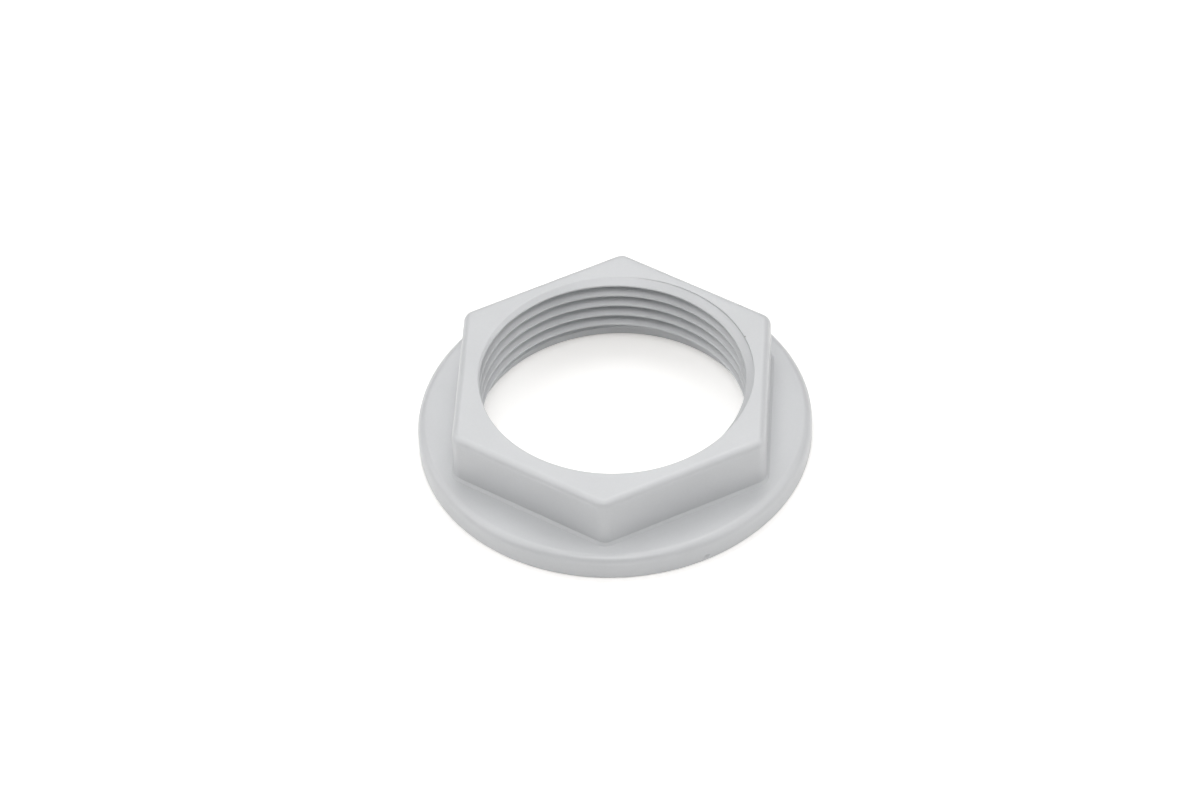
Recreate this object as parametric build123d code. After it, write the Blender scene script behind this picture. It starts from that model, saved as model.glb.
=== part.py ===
from build123d import *
import os
from math import cos, radians, tan

# Flanged hexagon back nut for a waste pipe, moulded in one piece.
# Millimetres, +Z up. The origin is the centre of the flange's seating face, which lies on Z = 0.
# Two corners of the hexagon point along -Y and +Y.

# Flange
flange_diameter = 66.8
flange_thickness = 4.45
flange_rim_radius = 1.5
flange_foot_radius = 0.3

# Hexagon
across_flats = 52.3
overall_height = 13.95
hexagon_corner_radius = 2.2
hexagon_top_radius = 1.3
hexagon_root_radius = 0.3

# Bore: a G 1 1/2 pipe thread, held at its minor diameter, and a plain relief at the seating face
thread_minor_diameter = 44.845
relief_diameter = 48.2
relief_depth = 1.8
relief_cone_half_angle = 62.5

# Flange left outside the hexagon's corners, which limits the two fillets on it
corner_reach = (across_flats / 2 - hexagon_corner_radius) / cos(radians(30)) + hexagon_corner_radius
flange_ledge = flange_diameter / 2 - corner_reach
rim_fillet = min(flange_rim_radius, flange_ledge / 2)
root_fillet = min(hexagon_root_radius, flange_ledge / 4)


def flange_disc():
    """Round flange, with a well rounded upper rim and a slightly eased lower edge."""
    disc = extrude(Circle(flange_diameter / 2), flange_thickness)
    edges = disc.edges().filter_by(GeomType.CIRCLE).sort_by(Axis.Z)
    disc = fillet(edges[-1], rim_fillet)
    edges = disc.edges().filter_by(GeomType.CIRCLE).sort_by(Axis.Z)
    return fillet(edges[0], flange_foot_radius)


def hexagon():
    """Spanner hexagon, with rounded corners and a rounded top edge, from the seating face up."""
    outline = RegularPolygon(across_flats / 2, 6, major_radius=False, rotation=90)
    outline = fillet(outline.vertices(), hexagon_corner_radius)
    body = extrude(outline, overall_height)
    return fillet(body.edges().group_by(Axis.Z)[-1], hexagon_top_radius)


def round_hexagon_root(nut):
    """Fillets the line where the hexagon stands on the flange."""
    centre = Vector(0, 0, flange_thickness)
    level = nut.edges().filter_by_position(Axis.Z, flange_thickness, flange_thickness)
    reach = corner_reach + flange_ledge / 4
    root = [edge for edge in level if (edge.position_at(0) - centre).length < reach]
    return fillet(root, root_fillet)


def bore():
    """Through bore: threaded length, then a short cone down to the plain relief."""
    minor_radius = thread_minor_diameter / 2
    relief_radius = relief_diameter / 2
    cone_height = (relief_radius - minor_radius) / tan(radians(relief_cone_half_angle))
    section = Polyline(
        (0, 0),
        (relief_radius, 0),
        (relief_radius, relief_depth),
        (minor_radius, relief_depth + cone_height),
        (minor_radius, overall_height),
        (0, overall_height),
        close=True,
    )
    return revolve(Plane.XZ * make_face(section), Axis.Z)


def flanged_nut():
    """The whole moulding."""
    return round_hexagon_root(flange_disc() + hexagon()) - bore()


nut = flanged_nut()
nut.label = "flanged_nut"
os.makedirs("parts", exist_ok=True)
export_step(nut, "parts/flanged_nut.step")
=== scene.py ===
from math import atan2, cos, pi, radians, sin, sqrt, tan

import bmesh
import bpy
from mathutils import Matrix, Vector


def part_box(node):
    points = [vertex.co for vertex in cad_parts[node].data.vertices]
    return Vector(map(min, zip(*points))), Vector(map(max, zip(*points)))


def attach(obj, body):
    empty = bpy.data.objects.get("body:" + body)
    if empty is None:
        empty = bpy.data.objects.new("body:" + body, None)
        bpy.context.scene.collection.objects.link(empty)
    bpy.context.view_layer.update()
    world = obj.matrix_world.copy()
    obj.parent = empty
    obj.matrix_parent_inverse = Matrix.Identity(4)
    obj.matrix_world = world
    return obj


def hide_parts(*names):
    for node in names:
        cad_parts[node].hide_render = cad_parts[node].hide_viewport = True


# Flanged hexagon back nut, moulded in light grey plastic, on a plain white floor.
# Lengths are millimetres in the part's frame, unless a comment names another unit.

MM = 0.001

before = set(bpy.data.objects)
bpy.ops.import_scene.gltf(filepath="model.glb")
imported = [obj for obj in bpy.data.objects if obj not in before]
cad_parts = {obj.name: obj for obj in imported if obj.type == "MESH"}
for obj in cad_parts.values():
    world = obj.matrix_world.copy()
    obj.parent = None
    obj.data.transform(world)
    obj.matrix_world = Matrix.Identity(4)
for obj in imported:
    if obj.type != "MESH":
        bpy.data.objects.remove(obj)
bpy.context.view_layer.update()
node_low, node_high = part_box("flanged_nut")

# Outer form. The sector is the angle that one side of the hexagon spans
FLANGE_RADIUS = (node_high.x - node_low.x) / 2 / MM
HEIGHT = node_high.z / MM
FLANGE_THICKNESS = 4.45
FLANGE_RIM_RADIUS = 1.5
FLANGE_FOOT_RADIUS = 0.3
HEXAGON_APOTHEM = 52.3 / 2
HEXAGON_CORNER_RADIUS = 2.2
HEXAGON_TOP_RADIUS = 1.3
HEXAGON_ROOT_SLOPE = 0.45
SECTOR_DEGREES = 60

# Plain relief at the seating face, and the cone from it up to the thread
RELIEF_RADIUS = 48.2 / 2
RELIEF_DEPTH = 1.8
RELIEF_CONE_HALF_ANGLE = radians(62.5)
RELIEF_EDGE_RADIUS = 0.25

# G 1 1/2 pipe thread, right hand, with roundings smaller than the standard's
THREAD_PITCH = 2.309
THREAD_DEPTH_SHARE = 0.640327
THREAD_HALF_ANGLE = radians(27.5)
THREAD_ROUNDING = 0.2
THREAD_MINOR_RADIUS = 44.845 / 2
THREAD_MAJOR_RADIUS = THREAD_MINOR_RADIUS + THREAD_DEPTH_SHARE * THREAD_PITCH

# From the middle of a crest to that of a root, along the axis: an arc, the flank, an arc and half a flat
THREAD_ARC = THREAD_ROUNDING * cos(THREAD_HALF_ANGLE)
THREAD_ARC_DEPTH = THREAD_ROUNDING * (1 - sin(THREAD_HALF_ANGLE))
THREAD_FLANK_DEPTH = THREAD_MAJOR_RADIUS - THREAD_MINOR_RADIUS - 2 * THREAD_ARC_DEPTH
THREAD_FLANK = THREAD_FLANK_DEPTH * tan(THREAD_HALF_ANGLE)
THREAD_ROOT_HALF_FLAT = THREAD_PITCH / 2 - 2 * THREAD_ARC - THREAD_FLANK

# Where the highest turn lies: at this azimuth the middle of its crest is this far below the top face
CREST_AZIMUTH = radians(47)
CREST_BELOW_TOP = 1.15

# Marks in the photograph: a nick in the flange's rim, and on the top face a rubbed spot and a dark speck
NICK_DEGREES = 300
NICK_HEIGHT = 0.85
NICK_HALF_WIDTH = 0.6
NICK_HALF_HEIGHT = 0.5
NICK_DEPTH = 0.35
SCUFF_PLACE = (15.1, 19.6, HEIGHT)
SCUFF_REACH = 2.6
SPECK_PLACE = (21.9, 9.7, HEIGHT)
SPECK_REACH = 0.3

# Mesh: degrees between columns, which are finer on both sides of the hexagon's corners and the nick
COLUMN_STEP = 1.0
FINE_STEP = 0.25
FINE_BESIDE_CORNER = 3.0
FINE_BESIDE_NICK = 1.5

# Mesh: steps along each stretch of a column
SMALL_ARC_STEPS = 4
RIM_ARC_STEPS = 10
TOP_ARC_STEPS = 9
SEAT_STEPS = 4
RIM_WALL_STEPS = 12
LEDGE_STEPS = 3
SIDE_STEPS = 3
TOP_FACE_STEPS = 4

# Mesh: places of points, as shares of a flat stretch, the root slope and the parts of the thread
END_SHARE = 0.03
SLOPE_SHARES = (0, 0.5, 1)
CREST_SHARES = (0, 0.35, 0.7, 1)
FLANK_SHARES = (0.06, 0.5, 0.94)
ROOT_SHARES = (0, 0.3, 0.65, 1)

# Mesh: how near points are joined, how thin faces are dropped, where shading breaks, and a full edge's turn
WELD_DISTANCE = 0.012
SLIVER_WIDTH = 0.002
SHARP_ANGLE = radians(24)
FULL_EDGE_TURN = radians(18)

# Plastic: two greys, which a tone from 0 to 1 blends, and what each feature brings to the tone
DARKER_GREY = (0.576, 0.585, 0.595, 1)
LIGHTER_GREY = (0.676, 0.685, 0.697, 1)
SPECK_GREY = (0.28, 0.28, 0.28, 1)
CLOUD_TONE = (0.36, 0.64)
GRAIN_TONE = (-0.06, 0.06)
# The edges' share of the tone is a painted highlight, which makes the convex edges paler in patches
EDGE_HIGHLIGHT_TONE = (0, 0.15)
SCUFF_TONE = (0, 0.45)

# Plastic: gloss, and what each feature brings to the roughness
SPECULAR_LEVEL = 0.8
BLOTCH_ROUGHNESS = (0.33, 0.41)
EDGE_ROUGHNESS = (0, -0.04)
SCUFF_ROUGHNESS = (0, 0.12)

# Plastic: waves per metre and detail of each noise, and the depth of the two that are also relief
CLOUDS = (60, 2)
BLOTCHES = (330, 3)
RUBBING = (900, 3)
GRAIN = (2400, 2)
CLOUD_RELIEF = 0.04
GRAIN_RELIEF = 0.006

# Plastic: ranges of a value that are spread over another range
UNIT_RANGE = (0, 1)
NOISE_RANGE = (0.3, 0.7)
RUBBING_RANGE = (0.5, 0.62)
SPECK_RANGE = (0.3, 0.6)
EDGE_PATCH_RANGE = (0.3, 0.6)
EDGE_PATCH_SHARE = (0.5, 1)

# Sockets of a Mix node that blends colours
MIX_FACTOR = 0
MIX_FIRST = 6
MIX_SECOND = 7
MIX_RESULT = 2

# Camera, fitted to the outline in the photograph
IMAGE_WIDTH_PX = 1200
FOCAL_LENGTH_PX = 4903.7
SENSOR_WIDTH = 36.0
CAMERA_AZIMUTH = radians(5.176)
CAMERA_BACK = 581.26
CAMERA_HEIGHT = 597.32
CAMERA_PITCH = radians(45.381)
CAMERA_YAW = radians(-0.2288)
CAMERA_ROLL = radians(-3.1204)

# Light: an even surround, and soft boxes aimed at the nut (place, width and depth in metres, watts)
SURROUND_COLOUR = (1, 1, 1, 1)
SURROUND_STRENGTH = 0.03
SOFT_BOXES = {
    "top": ((0.0, 0.0, 1.1), 1.6, 1.2, 3.6),
    "front_high": ((0.0, -0.45, 1.1), 0.5, 0.5, 2.9),
    "front_low": ((0.0, -1.3, 0.12), 1.6, 0.2, 1.4),
    "back": ((0.0, 0.6, 1.0), 0.8, 0.7, 4.0),
    "left": ((-1.0, 0.0, 0.75), 1.4, 0.9, 6.5),
    "right": ((1.0, 0.0, 0.75), 1.4, 0.9, 6.0),
}

# Floor: half its width in metres, and a hair's gap below the seating face, so that the two don't coincide
FLOOR_HALF_WIDTH = 3.0
FLOOR_DROP = 0.02
FLOOR_WHITE = (0.965, 0.965, 0.965, 1)
FLOOR_ROUGHNESS = 0.9
FLOOR_SPECULAR_LEVEL = 0.1

# Glow of the floor, which only the camera, reflections and see-through materials pick up
FLOOR_GLOW = 0.26
FLOOR_GLOW_TINT = (1.0, 0.96, 0.9, 1)


def hexagon_radius(theta, offset):
    """Polar radius of the rounded hexagon, grown outwards by offset. Two corners lie on the Y axis."""
    apothem = HEXAGON_APOTHEM + offset
    corner = HEXAGON_CORNER_RADIUS + offset
    half_sector = radians(SECTOR_DEGREES) / 2
    from_corner = abs((theta - pi / 2 + half_sector) % (2 * half_sector) - half_sector)
    centre = (apothem - corner) / cos(half_sector)
    tangent = atan2(corner * sin(half_sector), centre + corner * cos(half_sector))
    if from_corner < tangent:
        return centre * cos(from_corner) + sqrt(corner ** 2 - (centre * sin(from_corner)) ** 2)
    return apothem / cos(half_sector - from_corner)


def thread_radius(axial):
    """Wall radius of the thread at an axial distance from the middle of a crest."""
    from_crest = abs((axial + THREAD_PITCH / 2) % THREAD_PITCH - THREAD_PITCH / 2)
    from_flat = THREAD_PITCH / 2 - THREAD_ROOT_HALF_FLAT - from_crest
    if from_crest < THREAD_ARC:
        return THREAD_MINOR_RADIUS + THREAD_ROUNDING - sqrt(THREAD_ROUNDING ** 2 - from_crest ** 2)
    if from_flat < THREAD_ARC:
        return THREAD_MAJOR_RADIUS - THREAD_ROUNDING + sqrt(THREAD_ROUNDING ** 2 - max(from_flat, 0) ** 2)
    return THREAD_MINOR_RADIUS + THREAD_ARC_DEPTH + (from_crest - THREAD_ARC) / tan(THREAD_HALF_ANGLE)


def crest_height(theta):
    """Height of the crest's middle on the highest turn, which rises with the azimuth."""
    return HEIGHT - CREST_BELOW_TOP + THREAD_PITCH * (theta - CREST_AZIMUTH) / (2 * pi)


def bore_radius(theta, z):
    """Wall radius of the bore: the thread, or the cone and the relief where they are wider."""
    wall = thread_radius(z - crest_height(theta))
    cone = RELIEF_RADIUS - max(z - RELIEF_DEPTH, 0) * tan(RELIEF_CONE_HALF_ANGLE)
    return max(wall, cone)


def nick_depth(theta, z):
    """Depth of the nick at a point of the flange's rim."""
    along = (theta - radians(NICK_DEGREES)) * FLANGE_RADIUS / NICK_HALF_WIDTH
    up = (z - NICK_HEIGHT) / NICK_HALF_HEIGHT
    return NICK_DEPTH * max(1 - along ** 2 - up ** 2, 0)


def azimuths():
    """Columns of the mesh, closer together beside the hexagon's corners and the nick."""
    columns = []
    for k in range(int(360 / FINE_STEP)):
        degrees = k * FINE_STEP
        from_corner = abs(degrees % SECTOR_DEGREES - SECTOR_DEGREES / 2)
        from_nick = abs(degrees - NICK_DEGREES)
        fine = from_corner <= FINE_BESIDE_CORNER or from_nick <= FINE_BESIDE_NICK
        if fine or degrees % COLUMN_STEP == 0:
            columns.append(radians(degrees))
    return columns


def quarter(steps):
    """Sine and cosine along a quarter circle."""
    return [(sin(pi / 2 * k / steps), cos(pi / 2 * k / steps)) for k in range(steps + 1)]


def across(start, end, steps):
    """Points inside a flat stretch, with one close to each end, so that shading stays flat between."""
    shares = [END_SHARE] + [k / steps for k in range(1, steps)] + [1 - END_SHARE]
    return [tuple(a + (b - a) * share for a, b in zip(start, end)) for share in shares]


def flange_section(theta):
    """Points (radius, height) from the relief's edge, under the flange, to the inner end of its rim."""
    edge, foot, rim = RELIEF_EDGE_RADIUS, FLANGE_FOOT_RADIUS, FLANGE_RIM_RADIUS
    relief = [(RELIEF_RADIUS + edge * (1 - c), edge * (1 - s)) for s, c in quarter(SMALL_ARC_STEPS)]
    foot_arc = [(FLANGE_RADIUS - foot * (1 - s), foot * (1 - c)) for s, c in quarter(SMALL_ARC_STEPS)]
    rim_arc = [(FLANGE_RADIUS - rim * (1 - c), FLANGE_THICKNESS - rim * (1 - s))
               for s, c in quarter(RIM_ARC_STEPS)]
    wall = across(foot_arc[-1], rim_arc[0], RIM_WALL_STEPS)
    nicked_wall = [(r - nick_depth(theta, z), z) for r, z in wall]
    return relief + across(relief[-1], foot_arc[0], SEAT_STEPS) + foot_arc + nicked_wall + rim_arc


def hexagon_section(theta):
    """Points (radius, height) from the hexagon's foot, up its side, to the hole in the top face."""
    root, top = HEXAGON_ROOT_SLOPE, HEXAGON_TOP_RADIUS
    slope = [(hexagon_radius(theta, root * (1 - k)), FLANGE_THICKNESS + root * k) for k in SLOPE_SHARES]
    top_arc = [(hexagon_radius(theta, -top * (1 - c)), HEIGHT - top * (1 - s))
               for s, c in quarter(TOP_ARC_STEPS)]
    hole = (bore_radius(theta, HEIGHT), HEIGHT)
    side = across(slope[-1], top_arc[0], SIDE_STEPS)
    return slope + side + top_arc + across(top_arc[-1], hole, TOP_FACE_STEPS)


def outer_section(theta):
    """Points (radius, height) from the relief's edge, round the outside, to the hole in the top face."""
    flange = flange_section(theta)
    hexagon = hexagon_section(theta)
    return flange + across(flange[-1], hexagon[0], LEDGE_STEPS) + hexagon


def thread_phases():
    """Axial steps of one pitch, from crest to crest, closer together on the rounded parts."""
    crest = [THREAD_ARC * share for share in CREST_SHARES]
    flank = [THREAD_ARC + THREAD_FLANK * share for share in FLANK_SHARES]
    root = [THREAD_ARC + THREAD_FLANK + THREAD_ARC * share for share in ROOT_SHARES]
    rise = crest + flank + root + [THREAD_PITCH / 2]
    return rise + [THREAD_PITCH - u for u in reversed(rise[1:-1])]


def thread_steps():
    """Axial steps from the highest turn's crest, over more turns than the bore holds, below and above."""
    turns_down = int(HEIGHT / THREAD_PITCH) + 2
    return [u + THREAD_PITCH * turn for turn in range(-turns_down, 2) for u in thread_phases()]


def bore_section(theta, steps):
    """Points (radius, height) up the bore, which follow the thread between the relief and the top face."""
    heights = [min(max(crest_height(theta) + step, RELIEF_DEPTH), HEIGHT) for step in steps]
    return [(bore_radius(theta, z), z) for z in heights]


def add_column(verts, theta, section):
    """Adds a section's points at an azimuth, in metres, and returns their numbers."""
    start = len(verts)
    verts += [(MM * r * cos(theta), MM * r * sin(theta), MM * z) for r, z in section]
    return range(start, len(verts))


def outer_faces(here, there):
    """Faces between two columns of the outside."""
    return [(here[i], there[i], there[i + 1], here[i + 1]) for i in range(len(here) - 1)]


def bore_faces(here, there, shift):
    """Faces between two columns of the bore, of which the second is shifted by a number of points."""
    last = len(here) - 1
    low = [min(i + shift, last) for i in range(last)]
    high = [min(i + 1 + shift, last) for i in range(last)]
    return [(here[i + 1], there[high[i]], there[low[i]], here[i]) for i in range(last)]


def build_nut():
    """One closed skin: columns of outer points and helical rows of the thread, joined round the bore."""
    columns = azimuths()
    steps = thread_steps()
    verts, faces, outer, bore = [], [], [], []
    for theta in columns:
        outer.append(add_column(verts, theta, outer_section(theta)))
        bore.append(add_column(verts, theta, bore_section(theta, steps)))
    for j in range(len(columns)):
        k = (j + 1) % len(columns)
        # past a full turn, the rows of the thread meet those of the next turn
        shift = len(thread_phases()) if k == 0 else 0
        faces += outer_faces(outer[j], outer[k])
        faces += bore_faces(bore[j], bore[k], shift)
        faces.append((outer[j][-1], outer[k][-1], bore[k][-1], bore[j][-1]))
        faces.append((bore[j][0], bore[k][0], outer[k][0], outer[j][0]))
    mesh = bpy.data.meshes.new("nut")
    mesh.from_pydata(verts, [], faces)
    return mesh


def weld(mesh):
    """Joins points that lie together and drops the faces that they close up."""
    bm = bmesh.new()
    bm.from_mesh(mesh)
    bmesh.ops.remove_doubles(bm, verts=bm.verts, dist=WELD_DISTANCE * MM)
    bmesh.ops.dissolve_degenerate(bm, edges=bm.edges, dist=SLIVER_WIDTH * MM)
    bmesh.ops.recalc_face_normals(bm, faces=bm.faces)
    bm.to_mesh(mesh)
    bm.free()


def mark_edges(mesh):
    """Stores how convex the skin is at each point, from 0 to 1, as the attribute "edge"."""
    bm = bmesh.new()
    bm.from_mesh(mesh)
    edge_layer = bm.verts.layers.float.new("edge")
    for vert in bm.verts:
        turn = sum(edge.calc_face_angle_signed(0) for edge in vert.link_edges)
        vert[edge_layer] = min(max(turn / FULL_EDGE_TURN, 0), 1)
    bm.to_mesh(mesh)
    bm.free()


def add_noise(tree, place, scale, detail):
    """Noise, with scale in waves per metre."""
    node = tree.nodes.new("ShaderNodeTexNoise")
    node.inputs["Scale"].default_value = scale
    node.inputs["Detail"].default_value = detail
    tree.links.new(place, node.inputs["Vector"])
    return node.outputs["Fac"]


def remap(tree, value, source, target):
    """Carries a value from one range over to another, held at both ends."""
    node = tree.nodes.new("ShaderNodeMapRange")
    names = ("From Min", "From Max", "To Min", "To Max")
    for name, setting in zip(names, source + target):
        node.inputs[name].default_value = setting
    tree.links.new(value, node.inputs["Value"])
    return node.outputs["Result"]


def combine(tree, operation, values):
    """Sum or product of several values."""
    result = values[0]
    for value in values[1:]:
        node = tree.nodes.new("ShaderNodeMath")
        node.operation = operation
        tree.links.new(result, node.inputs[0])
        tree.links.new(value, node.inputs[1])
        result = node.outputs[0]
    return result


def add_spot(tree, place, centre, reach):
    """1 at a point of the nut, fading to 0 at a distance of reach."""
    node = tree.nodes.new("ShaderNodeVectorMath")
    node.operation = "DISTANCE"
    node.inputs[1].default_value = Vector(centre) * MM
    tree.links.new(place, node.inputs[0])
    return remap(tree, node.outputs["Value"], (0, reach * MM), (1, 0))


def blend(tree, factor, first, second):
    """Mix of two colours by a factor. The first is a fixed colour or comes from another node."""
    node = tree.nodes.new("ShaderNodeMix")
    node.data_type = "RGBA"
    tree.links.new(factor, node.inputs[MIX_FACTOR])
    if isinstance(first, bpy.types.NodeSocket):
        tree.links.new(first, node.inputs[MIX_FIRST])
    else:
        node.inputs[MIX_FIRST].default_value = first
    node.inputs[MIX_SECOND].default_value = second
    return node.outputs[MIX_RESULT]


def add_bump(tree, height, distance, below=None):
    """Bump of a height from 0 to 1 over a distance in millimetres, added to a bump below it."""
    node = tree.nodes.new("ShaderNodeBump")
    node.inputs["Distance"].default_value = distance * MM
    tree.links.new(height, node.inputs["Height"])
    if below:
        tree.links.new(below, node.inputs["Normal"])
    return node.outputs["Normal"]


def plastic():
    """Light grey moulded plastic: satin, finely grained, faintly cloudy, smoother on its edges, and paler
    there in patches, which is a painted highlight.
    """
    material = bpy.data.materials.new("grey_plastic")
    material.use_nodes = True
    tree = material.node_tree
    shader = tree.nodes["Principled BSDF"]
    place = tree.nodes.new("ShaderNodeTexCoord").outputs["Object"]
    attribute = tree.nodes.new("ShaderNodeAttribute")
    attribute.attribute_name = "edge"
    clouds = add_noise(tree, place, *CLOUDS)
    blotches = add_noise(tree, place, *BLOTCHES)
    grain = add_noise(tree, place, *GRAIN)
    patches = remap(tree, blotches, EDGE_PATCH_RANGE, EDGE_PATCH_SHARE)
    edge = combine(tree, "MULTIPLY", [attribute.outputs["Fac"], patches])
    rubbing = remap(tree, add_noise(tree, place, *RUBBING), RUBBING_RANGE, UNIT_RANGE)
    scuff = combine(tree, "MULTIPLY", [add_spot(tree, place, SCUFF_PLACE, SCUFF_REACH), rubbing])

    tone = combine(tree, "ADD", [
        remap(tree, clouds, NOISE_RANGE, CLOUD_TONE),
        remap(tree, grain, NOISE_RANGE, GRAIN_TONE),
        # painted highlight: convex edges paler in patches
        remap(tree, edge, UNIT_RANGE, EDGE_HIGHLIGHT_TONE),
        remap(tree, scuff, UNIT_RANGE, SCUFF_TONE),
    ])
    grey = blend(tree, tone, DARKER_GREY, LIGHTER_GREY)
    speck = remap(tree, add_spot(tree, place, SPECK_PLACE, SPECK_REACH), SPECK_RANGE, UNIT_RANGE)
    tree.links.new(blend(tree, speck, grey, SPECK_GREY), shader.inputs["Base Color"])

    roughness = combine(tree, "ADD", [
        remap(tree, blotches, NOISE_RANGE, BLOTCH_ROUGHNESS),
        remap(tree, edge, UNIT_RANGE, EDGE_ROUGHNESS),
        remap(tree, scuff, UNIT_RANGE, SCUFF_ROUGHNESS),
    ])
    tree.links.new(roughness, shader.inputs["Roughness"])
    shader.inputs["Specular IOR Level"].default_value = SPECULAR_LEVEL
    waviness = add_bump(tree, clouds, CLOUD_RELIEF)
    tree.links.new(add_bump(tree, grain, GRAIN_RELIEF, waviness), shader.inputs["Normal"])
    return material


def add_mesh_object(name, mesh, material):
    """Puts a mesh with one material into the scene."""
    obj = bpy.data.objects.new(name, mesh)
    bpy.context.scene.collection.objects.link(obj)
    mesh.materials.append(material)
    return obj


def make_nut():
    """The nut, which stands for the plain solid."""
    mesh = build_nut()
    weld(mesh)
    mark_edges(mesh)
    for polygon in mesh.polygons:
        polygon.use_smooth = True
    mesh.set_sharp_from_angle(angle=SHARP_ANGLE)
    nut = add_mesh_object("threaded_flanged_nut", mesh, plastic())
    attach(nut, "root")
    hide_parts("flanged_nut")


def floor_material():
    """White floor, with a glow for the camera and reflections, so that its shadows stay faint."""
    material = bpy.data.materials.new("white_floor")
    material.use_nodes = True
    nodes, links = material.node_tree.nodes, material.node_tree.links
    shader = nodes["Principled BSDF"]
    shader.inputs["Base Color"].default_value = FLOOR_WHITE
    shader.inputs["Roughness"].default_value = FLOOR_ROUGHNESS
    shader.inputs["Specular IOR Level"].default_value = FLOOR_SPECULAR_LEVEL
    rays = nodes.new("ShaderNodeLightPath")
    seen = rays.outputs["Is Camera Ray"]
    for kind in ("Is Glossy Ray", "Is Transmission Ray"):
        seen = combine(material.node_tree, "MAXIMUM", [seen, rays.outputs[kind]])
    glow = nodes.new("ShaderNodeMath")
    glow.operation = "MULTIPLY"
    glow.inputs[1].default_value = FLOOR_GLOW
    links.new(seen, glow.inputs[0])
    shader.inputs["Emission Color"].default_value = FLOOR_GLOW_TINT
    links.new(glow.outputs[0], shader.inputs["Emission Strength"])
    return material


def make_floor():
    """Square floor, which isn't part of the object."""
    size = FLOOR_HALF_WIDTH
    level = -FLOOR_DROP * MM
    corners = [(-size, -size, level), (size, -size, level), (size, size, level), (-size, size, level)]
    mesh = bpy.data.meshes.new("floor")
    mesh.from_pydata(corners, [], [(0, 1, 2, 3)])
    add_mesh_object("floor", mesh, floor_material())


def make_light():
    """Even surround and soft boxes."""
    world = bpy.data.worlds.new("studio")
    bpy.context.scene.world = world
    world.use_nodes = True
    background = world.node_tree.nodes["Background"]
    background.inputs["Color"].default_value = SURROUND_COLOUR
    background.inputs["Strength"].default_value = SURROUND_STRENGTH
    for name, (place, width, depth, watts) in SOFT_BOXES.items():
        data = bpy.data.lights.new("soft_box_" + name, "AREA")
        data.shape = "RECTANGLE"
        data.size = width
        data.size_y = depth
        data.energy = watts
        lamp = bpy.data.objects.new("soft_box_" + name, data)
        lamp.location = place
        lamp.rotation_euler = (-Vector(place)).to_track_quat("-Z", "Y").to_euler()
        bpy.context.scene.collection.objects.link(lamp)


def make_camera():
    """Camera at the photograph's angle, turned about the nut's axis from the front."""
    data = bpy.data.cameras.new("camera")
    data.sensor_width = SENSOR_WIDTH
    data.sensor_fit = "HORIZONTAL"
    data.lens = SENSOR_WIDTH * FOCAL_LENGTH_PX / IMAGE_WIDTH_PX
    camera = bpy.data.objects.new("camera", data)
    bpy.context.scene.collection.objects.link(camera)
    level = cos(CAMERA_PITCH)
    forward = Vector((sin(CAMERA_YAW) * level, cos(CAMERA_YAW) * level, -sin(CAMERA_PITCH)))
    right = forward.cross(Vector((0, 0, 1))).normalized()
    up = right.cross(forward)
    right, up = (cos(CAMERA_ROLL) * right + sin(CAMERA_ROLL) * up,
                 cos(CAMERA_ROLL) * up - sin(CAMERA_ROLL) * right)
    pose = Matrix((right, up, -forward)).transposed().to_4x4()
    pose.translation = Vector((0, -CAMERA_BACK, CAMERA_HEIGHT)) * MM
    camera.matrix_world = Matrix.Rotation(CAMERA_AZIMUTH, 4, "Z") @ pose
    bpy.context.scene.camera = camera


make_nut()
make_floor()
make_light()
make_camera()
bpy.context.scene.view_settings.view_transform = "Standard"
